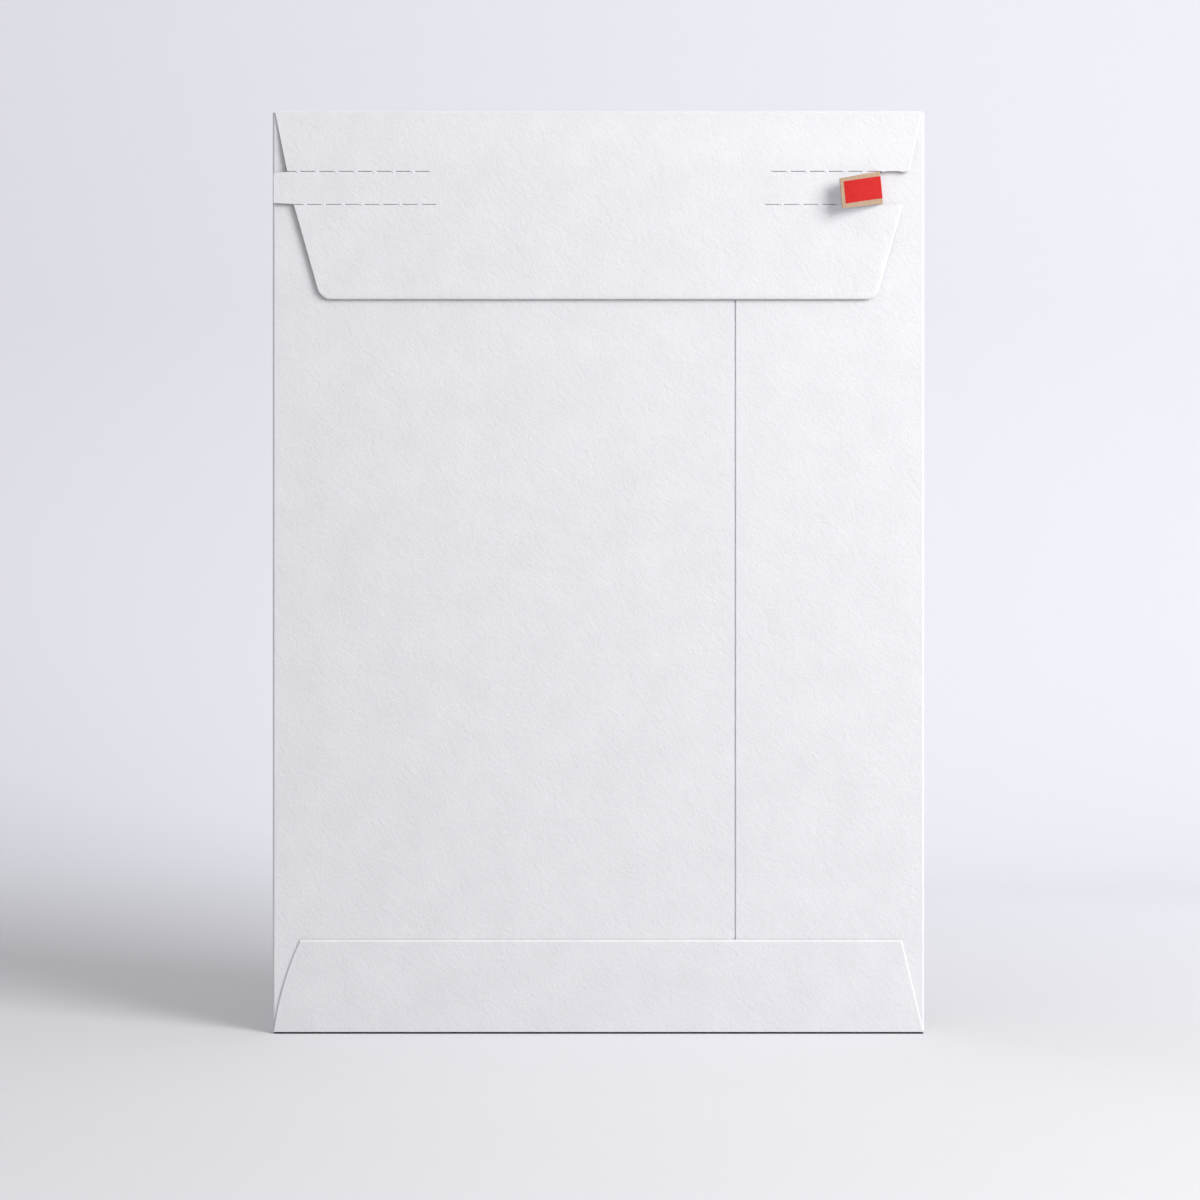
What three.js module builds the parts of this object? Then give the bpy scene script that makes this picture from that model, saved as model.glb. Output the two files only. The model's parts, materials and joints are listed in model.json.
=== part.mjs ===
// Board pocket envelope, C4 size, with a tear-open closure flap. Millimetres.
// The envelope stands on its bottom fold with the flap side facing -Y and +Z up.
// The origin is the middle of the face it stands on.
// One blank of solid board is creased into panels. Each panel, fold and tab is a mesh of its own.
import * as THREE from "three";

// Board, tapes and glue
const board = 0.5;
const glueThickness = 0.1;
const tapeThickness = 0.1;
const adhesiveThickness = 0.1;
const linerThickness = 0.1;

// Pocket
const envelopeWidth = 229;
const envelopeHeight = 324;
const pocketDepth = 5; // clear depth between the rear panel and the front panels
const sideFoldRadius = 0.9; // outer radius of the board where it turns round the sides
const bottomFoldRadius = 0.8; // and where it turns under the bottom
const panelClearance = 0.3; // gap between a cut edge and the fold that it stands on
const mouthDrop = 1; // the front panels' top edges lie this far under the envelope's top

// Side seam: the right front panel lies over a tongue of the left one
const rightPanelWidth = 66.2;
const tongueLength = 14; // how far the tongue reaches behind the right panel
const tongueRamp = 0.7; // width over which the board steps back to pass under the right panel
const seamGlueMargin = 1.5; // the glue line stays this far inside the tongue's edges

// Bottom flap, folded up over both front panels
const bottomFlapHeight = 33;
const bottomFoldInset = 0.2; // its fold stops this far inside the side edges
const bottomFlapLeftInset = 9.5; // its top left corner, from the left side edge
const bottomFlapRightInset = 7.9; // its top right corner, from the right side edge
const bottomFlapLeftBulge = 1.3; // how far its left edge swells out of the straight line
const bottomGlueHeight = 8;
const bottomGlueMargin = 3; // from the flap's top edge and side corners

// Closure flap
const flapHeight = 66.2;
const flapStandOff = 1.1; // gap between the closed flap and the front panels
const flapTopInset = 1; // sides of the flap, measured in from the envelope's side edges
const flapUpperTearInset = 5.4;
const flapLowerTearInset = 7.6;
const flapBottomInset = 17.1;
const flapCornerRadius = 4.5;
const creaseGap = 0.2; // clearance at each crease that folds

// Tear strip across the closure flap
const tearDrop = 21.5; // from the envelope's top to the upper tear line
const stripHeight = 11.4; // between the two tear lines
const cutWidth = 0.2; // the perforation's slits
const cutLength = 5.1;
const bridgeLength = 1.6;
const cutCount = 7; // full cuts at each end of each tear line
const leftLeadCut = 3; // the short first cut at the flap's left edge
const rightLeadCut = 1.6;
const tearClearance = 0.15; // the torn tab is this much narrower than its slot, on each side
const tabTaper = 0.8; // how much narrower a pull tab is at its end than the strip
const tabEndInset = 0.6; // a tab that lies flat stops this far inside the envelope's side edge
const rightFoldInset = 15.3; // middle of the fold, from the envelope's right side edge
const rightFoldLean = THREE.MathUtils.degToRad(5.5); // the fold's top leans towards the left
const rightTabLift = THREE.MathUtils.degToRad(21); // between the folded-back tab and the strip
const rightTabLength = 16.2; // from its fold to its free end
const tapeWidth = 7.7;
const tapeEndMargin = 1.3; // bare board past the tape's ends

// Peel-and-seal closure on the inside of the flap
const adhesiveHeight = 10;
const adhesiveDrop = 6; // from the flap's bottom edge to the adhesive's
const adhesiveEndMargin = 6; // from the flap's sloping sides
const linerMargin = 1; // the release liner covers the adhesive and this much more all round

// Planes across the depth, front to back
const halfWidth = envelopeWidth / 2;
const bodyDepth = pocketDepth + 2 * board;
const standingDepth = bodyDepth + glueThickness + board;
const rearFace = standingDepth / 2;
const frontFace = rearFace - bodyDepth;
const bottomFlapBack = frontFace - glueThickness;
const bottomFlapFace = bottomFlapBack - board;
const flapBack = frontFace - flapStandOff;
const flapFace = flapBack - board;

// Heights
const topFoldUnderside = envelopeHeight - board;
const upperTear = envelopeHeight - tearDrop;
const lowerTear = upperTear - stripHeight;
const stripMiddle = (upperTear + lowerTear) / 2;
const flapBottom = envelopeHeight - flapHeight;
const frontPanelBottom = board + panelClearance;
const frontPanelTop = envelopeHeight - mouthDrop;
const seamX = halfWidth - rightPanelWidth;
const foldX = halfWidth - rightFoldInset;
const tabEndWidth = stripHeight - tabTaper;

const X = new THREE.Vector3(1, 0, 0);
const Y = new THREE.Vector3(0, 1, 0);
const Z = new THREE.Vector3(0, 0, 1);
const ARC_STEPS = 6;

const finish = (color, roughness) => new THREE.MeshStandardMaterial({ color, roughness, metalness: 0 });
const whiteBoard = finish(0xe9e8ec, 0.9);
const redTape = finish(0xe2352f, 0.45);
const clearGlue = finish(0xe8e2cf, 0.5);
const adhesiveFilm = finish(0xf0ead8, 0.3);
const linerPaper = finish(0xf6f5f0, 0.55);

const envelope = new THREE.Group();

function add(name, geometry, material, parent = envelope) {
  const mesh = new THREE.Mesh(geometry, material);
  mesh.name = name;
  parent.add(mesh);
  return mesh;
}

// A closed outline from a list of [across, up] points.
function outline(points) {
  return new THREE.Shape(points.map(([across, up]) => new THREE.Vector2(across, up)));
}

// A flat sheet cut to an outline seen from the front, x across and z up. Its back is at y = back.
function sheet(shape, back, thickness) {
  const geometry = new THREE.ExtrudeGeometry(shape, {
    depth: thickness,
    bevelEnabled: false,
    curveSegments: ARC_STEPS,
  });
  geometry.applyMatrix4(new THREE.Matrix4().makeBasis(X, Z, Y.clone().negate()));
  return geometry.translate(0, back, 0);
}

// A rectangular sheet between two x and two z values.
function plate(left, right, bottom, top, back, thickness) {
  return sheet(outline([[left, bottom], [right, bottom], [right, top], [left, top]]), back, thickness);
}

// A profile seen from above, x and y, run upright between two heights.
function upright(profile, bottom, top) {
  const geometry = new THREE.ExtrudeGeometry(profile, {
    depth: top - bottom,
    bevelEnabled: false,
    curveSegments: ARC_STEPS,
  });
  return geometry.translate(0, 0, bottom);
}

// A board channel with two rounded creases. It opens towards +u, and its back wall's outer face is u = 0.
// The first arm's outer face is at v = low and the second's at v = high.
function channel(low, high, foldRadius) {
  const inner = foldRadius - board;
  const shape = new THREE.Shape();
  shape.moveTo(foldRadius, low);
  shape.lineTo(foldRadius, low + board);
  shape.absarc(foldRadius, low + foldRadius, inner, -Math.PI / 2, Math.PI, true);
  shape.lineTo(board, high - foldRadius);
  shape.absarc(foldRadius, high - foldRadius, inner, Math.PI, Math.PI / 2, true);
  shape.lineTo(foldRadius, high);
  shape.absarc(foldRadius, high - foldRadius, foldRadius, Math.PI / 2, Math.PI, false);
  shape.lineTo(0, low + foldRadius);
  shape.absarc(foldRadius, low + foldRadius, foldRadius, Math.PI, 1.5 * Math.PI, false);
  return shape;
}

function addPocket() {
  const sideBottom = bottomFoldRadius + panelClearance;
  const sideTop = topFoldUnderside;
  const panelEdge = halfWidth - sideFoldRadius;

  add("rear_panel",
    plate(-panelEdge, panelEdge, bottomFoldRadius, topFoldUnderside - creaseGap, rearFace, board),
    whiteBoard);

  const leftProfile = channel(frontFace, rearFace, sideFoldRadius);
  const leftFold = upright(leftProfile, sideBottom, sideTop);
  add("left_side_fold", leftFold, whiteBoard).position.x = -halfWidth;
  const rightProfile = channel(-rearFace, -frontFace, sideFoldRadius);
  const rightFold = upright(rightProfile, sideBottom, sideTop).rotateZ(Math.PI);
  add("right_side_fold", rightFold, whiteBoard).position.x = halfWidth;

  // The left panel ends where its tongue starts to step back.
  const step = board + glueThickness;
  const rampStart = seamX - tongueRamp;
  const tongueEnd = seamX + tongueLength;
  add("front_left_panel",
    plate(-panelEdge, rampStart, frontPanelBottom, frontPanelTop, frontFace + board, board), whiteBoard);
  const tongue = outline([
    [rampStart, frontFace], [seamX, frontFace + step], [tongueEnd, frontFace + step],
    [tongueEnd, frontFace + step + board], [seamX, frontFace + step + board], [rampStart, frontFace + board],
  ]);
  add("seam_tongue", upright(tongue, frontPanelBottom, frontPanelTop), whiteBoard);
  add("front_right_panel",
    plate(seamX, panelEdge, frontPanelBottom, frontPanelTop, frontFace + board, board), whiteBoard);
  add("side_seam_glue",
    plate(seamX + seamGlueMargin, tongueEnd - seamGlueMargin, frontPanelBottom + seamGlueMargin,
      frontPanelTop - seamGlueMargin, frontFace + step, glueThickness), clearGlue);
}

function addBottomFlap() {
  const foldHalf = halfWidth - bottomFoldInset;
  const foldProfile = channel(-rearFace, -bottomFlapFace, bottomFoldRadius);
  const fold = upright(foldProfile, -foldHalf, foldHalf);
  fold.applyMatrix4(new THREE.Matrix4().makeBasis(Z, Y.clone().negate(), X));
  add("bottom_fold", fold, whiteBoard);

  const left = -halfWidth + bottomFlapLeftInset;
  const right = halfWidth - bottomFlapRightInset;
  const shape = new THREE.Shape();
  shape.moveTo(-foldHalf, bottomFoldRadius);
  shape.lineTo(foldHalf, bottomFoldRadius);
  shape.lineTo(right, bottomFlapHeight);
  shape.lineTo(left, bottomFlapHeight);
  // The left edge is a shallow curve whose middle stands clear of the straight line by the bulge.
  const middleX = (left - foldHalf) / 2 - 2 * bottomFlapLeftBulge;
  shape.quadraticCurveTo(middleX, (bottomFlapHeight + bottomFoldRadius) / 2, -foldHalf, bottomFoldRadius);
  add("bottom_flap", sheet(shape, bottomFlapBack, board), whiteBoard);

  const glueTop = bottomFlapHeight - bottomGlueMargin;
  add("bottom_flap_glue",
    plate(left + bottomGlueMargin, right - bottomGlueMargin, glueTop - bottomGlueHeight, glueTop,
      frontFace, glueThickness), clearGlue);
}

function addTopFold() {
  const foldHalf = halfWidth - flapTopInset;
  const depth = rearFace - flapFace;
  const slab = new THREE.BoxGeometry(2 * foldHalf, depth, board);
  slab.translate(0, rearFace - depth / 2, envelopeHeight - board / 2);
  add("top_fold", slab, whiteBoard);
}

// The slits along one edge of a flap piece, as outline points from its right end to its left end.
// up is +1 for slits that bite upwards from the edge and -1 for slits that bite down.
function slitEdge(edgeHalf, height, up) {
  const bite = height + up * cutWidth;
  const cuts = (leadCut) => {
    const found = [[0, leadCut]];
    for (let i = 0; i < cutCount; i++) {
      const start = leadCut + bridgeLength + i * (cutLength + bridgeLength);
      found.push([start, start + cutLength]);
    }
    return found;
  };
  const notch = (from, to) => [[from, height], [from, bite], [to, bite], [to, height]];
  const rightCuts = cuts(rightLeadCut).flatMap(([near, far]) => notch(edgeHalf - near, edgeHalf - far));
  const leftCuts = cuts(leftLeadCut).reverse().flatMap(([near, far]) => notch(far - edgeHalf, near - edgeHalf));
  // The lead cuts are open at the flap's sides, so two points fall away at each end.
  return [...rightCuts, ...leftCuts].slice(2, -2);
}

// Half the flap's width at a height, on the straight side between two of its set points.
function sideAt(height, high, highHalf, low, lowHalf) {
  return lowHalf + (highHalf - lowHalf) * (height - low) / (high - low);
}

function addClosureFlap() {
  const topHalf = halfWidth - flapTopInset;
  const upperHalf = halfWidth - flapUpperTearInset;
  const lowerHalf = halfWidth - flapLowerTearInset;
  const bottomHalf = halfWidth - flapBottomInset;
  const flapTop = topFoldUnderside - creaseGap;

  // The slits start from the sloping side, a cut's width beyond the tear line.
  const upperCutHalf = sideAt(upperTear + cutWidth, envelopeHeight, topHalf, upperTear, upperHalf);
  const upperShape = outline([
    [-topHalf, flapTop], [-upperCutHalf, upperTear + cutWidth],
    ...slitEdge(upperCutHalf, upperTear, 1).reverse(),
    [upperCutHalf, upperTear + cutWidth], [topHalf, flapTop],
  ]);
  add("closure_flap_upper", sheet(upperShape, flapBack, board), whiteBoard);

  const foldTopX = foldX - (upperTear - stripMiddle) * Math.tan(rightFoldLean);
  const foldBottomX = foldX + (stripMiddle - lowerTear) * Math.tan(rightFoldLean);
  const stripShape = outline([
    [-upperHalf, upperTear], [-lowerHalf, lowerTear], [foldBottomX, lowerTear], [foldTopX, upperTear],
  ]);
  add("tear_strip", sheet(stripShape, flapBack, board), whiteBoard);

  const lowerCutHalf = sideAt(lowerTear - cutWidth, lowerTear, lowerHalf, flapBottom, bottomHalf);
  const slope = new THREE.Vector2(lowerHalf - bottomHalf, lowerTear - flapBottom).normalize();
  const tangent = flapCornerRadius * Math.tan((Math.PI / 2 - Math.asin(slope.x)) / 2);
  const corner = (side) => {
    const start = new THREE.Vector2(side * bottomHalf, flapBottom)
      .add(new THREE.Vector2(side * slope.x, slope.y).multiplyScalar(tangent));
    const end = new THREE.Vector2(side * (bottomHalf - tangent), flapBottom);
    const centre = new THREE.Vector2(end.x, flapBottom + flapCornerRadius);
    const startAngle = Math.atan2(start.y - centre.y, start.x - centre.x);
    return { start, centre, startAngle };
  };
  const leftCorner = corner(-1);
  const rightCorner = corner(1);
  const lowerShape = new THREE.Shape();
  lowerShape.moveTo(-lowerCutHalf, lowerTear - cutWidth);
  lowerShape.lineTo(leftCorner.start.x, leftCorner.start.y);
  lowerShape.absarc(leftCorner.centre.x, leftCorner.centre.y, flapCornerRadius,
    leftCorner.startAngle + 2 * Math.PI, 1.5 * Math.PI, false);
  lowerShape.lineTo(rightCorner.centre.x, flapBottom);
  lowerShape.absarc(rightCorner.centre.x, rightCorner.centre.y, flapCornerRadius,
    -Math.PI / 2, rightCorner.startAngle, false);
  lowerShape.lineTo(lowerCutHalf, lowerTear - cutWidth);
  slitEdge(lowerCutHalf, lowerTear, -1).forEach(([x, z]) => lowerShape.lineTo(x, z));
  add("closure_flap_lower", sheet(lowerShape, flapBack, board), whiteBoard);

  // The red ripper tape runs along the inside of the strip.
  const tapeTop = stripMiddle + tapeWidth / 2;
  const tapeBottom = stripMiddle - tapeWidth / 2;
  const creaseX = (height) => -sideAt(height, upperTear, upperHalf, lowerTear, lowerHalf);
  const foldAt = (height) => foldX - (height - stripMiddle) * Math.tan(rightFoldLean);
  const tapeShape = outline([
    [creaseX(tapeTop), tapeTop], [creaseX(tapeBottom), tapeBottom],
    [foldAt(tapeBottom), tapeBottom], [foldAt(tapeTop), tapeTop],
  ]);
  add("tear_tape", sheet(tapeShape, flapBack + tapeThickness, tapeThickness), redTape);

  const adhesiveBottom = flapBottom + adhesiveDrop;
  const adhesiveTop = adhesiveBottom + adhesiveHeight;
  const adhesiveHalf = sideAt(adhesiveBottom, lowerTear, lowerHalf, flapBottom, bottomHalf) - adhesiveEndMargin;
  add("closure_adhesive",
    plate(-adhesiveHalf, adhesiveHalf, adhesiveBottom, adhesiveTop,
      flapBack + adhesiveThickness, adhesiveThickness), adhesiveFilm);
  const linerHalf = adhesiveHalf + linerMargin;
  add("release_liner",
    plate(-linerHalf, linerHalf, adhesiveBottom - linerMargin, adhesiveTop + linerMargin,
      flapBack + adhesiveThickness + linerThickness, linerThickness), linerPaper);

  // Left pull tab, still flat. It bends along the line of the flap's sloping side.
  const leftEnd = -halfWidth + tabEndInset;
  const leftTab = outline([
    [-upperHalf - creaseGap, upperTear], [leftEnd, stripMiddle + tabEndWidth / 2],
    [leftEnd, stripMiddle - tabEndWidth / 2], [-lowerHalf - creaseGap, lowerTear],
  ]);
  add("left_pull_tab", sheet(leftTab, flapBack, board), whiteBoard);
  const leftTapeEnd = leftEnd + tapeEndMargin;
  const leftTape = outline([
    [creaseX(tapeTop) - creaseGap, tapeTop], [leftTapeEnd, tapeTop],
    [leftTapeEnd, tapeBottom], [creaseX(tapeBottom) - creaseGap, tapeBottom],
  ]);
  add("left_tab_tape", sheet(leftTape, flapBack + tapeThickness, tapeThickness), redTape);
}

// Right pull tab, torn out of its slot and folded back over the strip. Drawn flat about its fold, then turned.
function addRightTab() {
  const tab = new THREE.Group();
  tab.position.set(foldX, flapFace, stripMiddle);
  const foldAxis = new THREE.Vector3(-Math.sin(rightFoldLean), 0, Math.cos(rightFoldLean));
  tab.quaternion.setFromAxisAngle(foldAxis, rightTabLift - Math.PI);
  envelope.add(tab);

  // Its free end and the tape's end run parallel to the fold.
  const slant = (up) => -up * Math.tan(rightFoldLean);
  const rootHalf = stripHeight / 2 - tearClearance;
  const endHalf = tabEndWidth / 2;
  const tabShape = outline([
    [creaseGap + slant(-rootHalf), -rootHalf], [rightTabLength + slant(-endHalf), -endHalf],
    [rightTabLength + slant(endHalf), endHalf], [creaseGap + slant(rootHalf), rootHalf],
  ]);
  add("right_pull_tab", sheet(tabShape, board, board), whiteBoard, tab);
  const tapeHalf = tapeWidth / 2;
  const tapeEnd = rightTabLength - tapeEndMargin;
  const tapeShape = outline([
    [creaseGap + slant(-tapeHalf), -tapeHalf], [tapeEnd + slant(-tapeHalf), -tapeHalf],
    [tapeEnd + slant(tapeHalf), tapeHalf], [creaseGap + slant(tapeHalf), tapeHalf],
  ]);
  add("right_tab_tape", sheet(tapeShape, board + tapeThickness, tapeThickness), redTape, tab);
}

addPocket();
addBottomFlap();
addTopFold();
addClosureFlap();
addRightTab();

export default envelope;
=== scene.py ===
import json
import math

import bpy
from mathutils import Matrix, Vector


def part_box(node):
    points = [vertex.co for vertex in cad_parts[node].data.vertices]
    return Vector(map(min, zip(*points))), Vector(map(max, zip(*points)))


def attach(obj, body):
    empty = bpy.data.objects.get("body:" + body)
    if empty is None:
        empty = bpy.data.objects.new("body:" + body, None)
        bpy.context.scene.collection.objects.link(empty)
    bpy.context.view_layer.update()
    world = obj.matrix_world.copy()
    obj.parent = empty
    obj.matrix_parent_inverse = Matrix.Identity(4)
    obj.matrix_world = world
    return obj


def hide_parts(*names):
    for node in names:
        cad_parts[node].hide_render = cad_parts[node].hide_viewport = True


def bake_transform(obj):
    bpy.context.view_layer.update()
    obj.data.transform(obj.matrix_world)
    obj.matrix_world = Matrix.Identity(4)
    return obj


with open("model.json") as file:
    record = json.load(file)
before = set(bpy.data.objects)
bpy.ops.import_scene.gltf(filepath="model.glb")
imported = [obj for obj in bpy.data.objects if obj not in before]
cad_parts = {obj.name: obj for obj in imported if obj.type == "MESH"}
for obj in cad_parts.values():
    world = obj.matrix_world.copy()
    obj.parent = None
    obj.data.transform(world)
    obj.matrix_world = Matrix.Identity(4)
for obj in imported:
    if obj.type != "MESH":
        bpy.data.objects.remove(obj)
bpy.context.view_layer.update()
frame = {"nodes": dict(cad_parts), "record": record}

print("frame loaded:", len(frame["nodes"]), "nodes")
mm = 0.001
slack = 0.01 * mm          # places nearer than this count as one
mergeWithin = 0.002 * mm

# Where the board lies, read from the frame
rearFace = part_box("rear_panel")[1].y
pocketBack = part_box("rear_panel")[0].y
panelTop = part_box("rear_panel")[1].z
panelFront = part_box("front_right_panel")[0].y
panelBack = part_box("front_right_panel")[1].y
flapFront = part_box("closure_flap_upper")[0].y
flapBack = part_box("closure_flap_upper")[1].y
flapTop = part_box("closure_flap_upper")[1].z
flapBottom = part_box("closure_flap_lower")[0].z
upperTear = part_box("tear_strip")[1].z
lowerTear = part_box("tear_strip")[0].z
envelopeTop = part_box("top_fold")[1].z
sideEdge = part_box("right_side_fold")[1].x
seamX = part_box("front_right_panel")[0].x
board = flapBack - flapFront
pocketMiddle = (pocketBack + panelBack) / 2
hinges = {joint["name"]: joint for joint in frame["record"]["behaviour"]["joints"]}


# Camera: level, straight on, from where the front fills the same part of the frame
camera = {
    "imageWidth": 1200,
    "imageMiddle": 600,
    "envelopeLeft": 272.5,      # edges of the envelope in the photograph, in pixels
    "envelopeRight": 924.4,
    "envelopeFoot": 1033.5,
    "lens": 70,
    "sensor": 36,
    "nearest": 0.01,
}


def addCamera():
    size = 2 * sideEdge / (camera["envelopeRight"] - camera["envelopeLeft"])
    away = camera["lens"] / camera["sensor"] * camera["imageWidth"] * size
    middle = (camera["envelopeLeft"] + camera["envelopeRight"]) / 2
    place = (
        (camera["imageMiddle"] - middle) * size,
        panelFront - away,
        (camera["envelopeFoot"] - camera["imageMiddle"]) * size,
    )
    bpy.ops.object.camera_add(location=place, rotation=(math.pi / 2, 0, 0))
    shot = bpy.context.object
    shot.name = "photo_camera"
    shot.data.lens = camera["lens"]
    shot.data.sensor_width = camera["sensor"]
    shot.data.clip_start = camera["nearest"]
    bpy.context.scene.camera = shot


bpy.ops.object.select_all(action="DESELECT")
addCamera()
bpy.context.scene.view_settings.view_transform = "Standard"
print("camera set")


# Node helpers
def nodeTree(material):
    material.use_nodes = True
    tree = material.node_tree
    shader = tree.nodes["Principled BSDF"]
    return tree, shader


def addNode(tree, kind, place=(0, 0), **settings):
    node = tree.nodes.new(kind)
    node.location = place
    for key, value in settings.items():
        setattr(node, key, value)
    return node


def addMath(tree, operation, first, second, place=(0, 0)):
    node = addNode(tree, "ShaderNodeMath", place, operation=operation)
    for socket, value in zip(node.inputs, (first, second)):
        if isinstance(value, (int, float)):
            socket.default_value = value
        else:
            tree.links.new(value, socket)
    return node.outputs[0]


def addNoise(tree, coordinates, look, place):
    # look is scale, detail, roughness and, where there is one, distortion
    noise = addNode(tree, "ShaderNodeTexNoise", place)
    for name, value in zip(("Scale", "Detail", "Roughness", "Distortion"), look):
        noise.inputs[name].default_value = value
    tree.links.new(coordinates, noise.inputs["Vector"])
    return noise.outputs["Fac"]


def addBump(tree, height, depth, shader):
    bump = addNode(tree, "ShaderNodeBump", (-300, -300))
    bump.inputs["Strength"].default_value = 1
    bump.inputs["Distance"].default_value = depth
    tree.links.new(height, bump.inputs["Height"])
    tree.links.new(bump.outputs["Normal"], shader.inputs["Normal"])


def addTone(tree, mask, dark, light, target, low=0.3, high=0.7):
    ramp = addNode(tree, "ShaderNodeValToRGB", (-550, 200))
    ramp.color_ramp.elements[0].position = low
    ramp.color_ramp.elements[0].color = (*dark, 1)
    ramp.color_ramp.elements[1].position = high
    ramp.color_ramp.elements[1].color = (*light, 1)
    tree.links.new(mask, ramp.inputs["Fac"])
    tree.links.new(ramp.outputs["Color"], target)
    return ramp


# Felt of the board: soft wrinkled strokes that run down to the right, a middle grain and a fine tooth
felt = {
    "lean": 38,           # degrees below level
    "stretch": 0.72,      # the pattern is drawn out this much along the strokes
    "Strokes": (260, 3, 0.55, 0.9),
    "Grain": (820, 3, 0.6, 0.9),
    "Tooth": (2600, 2, 0.5),
    "cloud": (75, 3, 0.5),
}


def makeFeltGroup():
    group = bpy.data.node_groups.new("board_felt", "ShaderNodeTree")
    group.interface.new_socket("Vector", in_out="INPUT", socket_type="NodeSocketVector")
    for name in ("Strokes", "Grain", "Tooth"):
        group.interface.new_socket(name, in_out="INPUT", socket_type="NodeSocketFloat")
    group.interface.new_socket("Height", in_out="OUTPUT", socket_type="NodeSocketFloat")
    group.interface.new_socket("Tone", in_out="OUTPUT", socket_type="NodeSocketFloat")
    enter = addNode(group, "NodeGroupInput", (-900, 0))
    leave = addNode(group, "NodeGroupOutput", (700, 0))

    turned = addNode(group, "ShaderNodeMapping", (-700, 200))
    turned.inputs["Rotation"].default_value = (0, -math.radians(felt["lean"]), 0)
    group.links.new(enter.outputs["Vector"], turned.inputs["Vector"])
    squeezed = addNode(group, "ShaderNodeMapping", (-500, 200))
    squeezed.inputs["Scale"].default_value = (felt["stretch"], 1, 1)
    group.links.new(turned.outputs["Vector"], squeezed.inputs["Vector"])

    straight = enter.outputs["Vector"]
    leaning = squeezed.outputs["Vector"]
    heights = []
    rows = (("Strokes", leaning, 300), ("Grain", leaning, 0), ("Tooth", straight, -300))
    for name, coordinates, y in rows:
        noise = addNoise(group, coordinates, felt[name], (-300, y))
        heights.append(addMath(group, "MULTIPLY", noise, enter.outputs[name], (-50, y)))
    height = addMath(group, "ADD", heights[0], heights[1], (200, 150))
    height = addMath(group, "ADD", height, heights[2], (350, 0))
    group.links.new(height, leave.inputs["Height"])
    group.links.new(addNoise(group, straight, felt["cloud"], (-300, 600)), leave.inputs["Tone"])
    return group


feltGroup = makeFeltGroup()


def addFelt(tree, finish, shader):
    place = addNode(tree, "ShaderNodeTexCoord", (-1100, 0))
    surface = addNode(tree, "ShaderNodeGroup", (-850, 0), node_tree=feltGroup)
    tree.links.new(place.outputs["Object"], surface.inputs["Vector"])
    for name, share in zip(("Strokes", "Grain", "Tooth"), finish["felt"]):
        surface.inputs[name].default_value = share
    addBump(tree, surface.outputs["Height"], finish["depth"], shader)
    return place.outputs["Object"], surface.outputs["Tone"]


# Finishes: felt gives the shares of strokes, grain and tooth, and the other patterns are noise looks
boardFinish = {
    "dark": (0.80, 0.797, 0.822),
    "light": (0.835, 0.832, 0.857),
    "roughness": 0.86,
    "gloss": 0.3,
    "felt": (0.75, 0.8, 0.3),
    "depth": 0.16 * mm,
}
kraftFinish = {
    "dark": (0.41, 0.283, 0.187),
    "light": (0.51, 0.356, 0.247),
    "roughness": 0.88,
    "gloss": 0.3,
    "felt": (0.4, 0.6, 0.5),
    "depth": 0.12 * mm,
    "flecks": (1500, 4, 0.65),
    "fleckRange": (0.35, 0.65),
}
tapeFinish = {
    "dark": (0.52, 0.004, 0.003),
    "light": (0.57, 0.007, 0.005),
    "roughness": 0.5,
    "gloss": 0.12,
    "cloud": (420, 3, 0.5),
    "ribs": 130,
    "ribWaver": 0.6,
    "ribDepth": 0.02 * mm,
}
glueFinish = {
    "dark": (0.70, 0.66, 0.53),
    "light": (0.78, 0.74, 0.62),
    "roughness": 0.45,
    "smear": (260, 4, 0.55),
    "depth": 0.05 * mm,
}
filmFinish = {
    "dark": (0.80, 0.77, 0.66),
    "light": (0.86, 0.83, 0.73),
    "roughness": 0.22,
    "smear": (180, 4, 0.55),
    "depth": 0.03 * mm,
}
linerFinish = {
    "dark": (0.84, 0.83, 0.79),
    "light": (0.88, 0.87, 0.84),
    "roughness": 0.5,
    "smear": (900, 4, 0.55),
    "depth": 0.03 * mm,
}


def newFinish(name, finish):
    material = bpy.data.materials.new(name)
    tree, shader = nodeTree(material)
    shader.inputs["Roughness"].default_value = finish["roughness"]
    if "gloss" in finish:
        shader.inputs["Specular IOR Level"].default_value = finish["gloss"]
    return material, tree, shader


def makeWhiteBoard():
    material, tree, shader = newFinish("white_felted_board", boardFinish)
    _, tone = addFelt(tree, boardFinish, shader)
    addTone(tree, tone, boardFinish["dark"], boardFinish["light"], shader.inputs["Base Color"])
    return material


def makeKraftBoard():
    material, tree, shader = newFinish("tan_board_lining", kraftFinish)
    place, _ = addFelt(tree, kraftFinish, shader)
    flecks = addNoise(tree, place, kraftFinish["flecks"], (-850, 300))
    colour = shader.inputs["Base Color"]
    addTone(tree, flecks, kraftFinish["dark"], kraftFinish["light"], colour, *kraftFinish["fleckRange"])
    return material


def makeRedTape():
    material, tree, shader = newFinish("red_ripper_tape", tapeFinish)
    place = addNode(tree, "ShaderNodeTexCoord", (-1100, 0))
    cloud = addNoise(tree, place.outputs["Object"], tapeFinish["cloud"], (-850, 200))
    addTone(tree, cloud, tapeFinish["dark"], tapeFinish["light"], shader.inputs["Base Color"])
    ribs = addNode(tree, "ShaderNodeTexWave", (-850, -200), bands_direction="Z")
    ribs.inputs["Scale"].default_value = tapeFinish["ribs"]
    ribs.inputs["Distortion"].default_value = tapeFinish["ribWaver"]
    tree.links.new(place.outputs["Object"], ribs.inputs["Vector"])
    addBump(tree, ribs.outputs["Fac"], tapeFinish["ribDepth"], shader)
    return material


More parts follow.
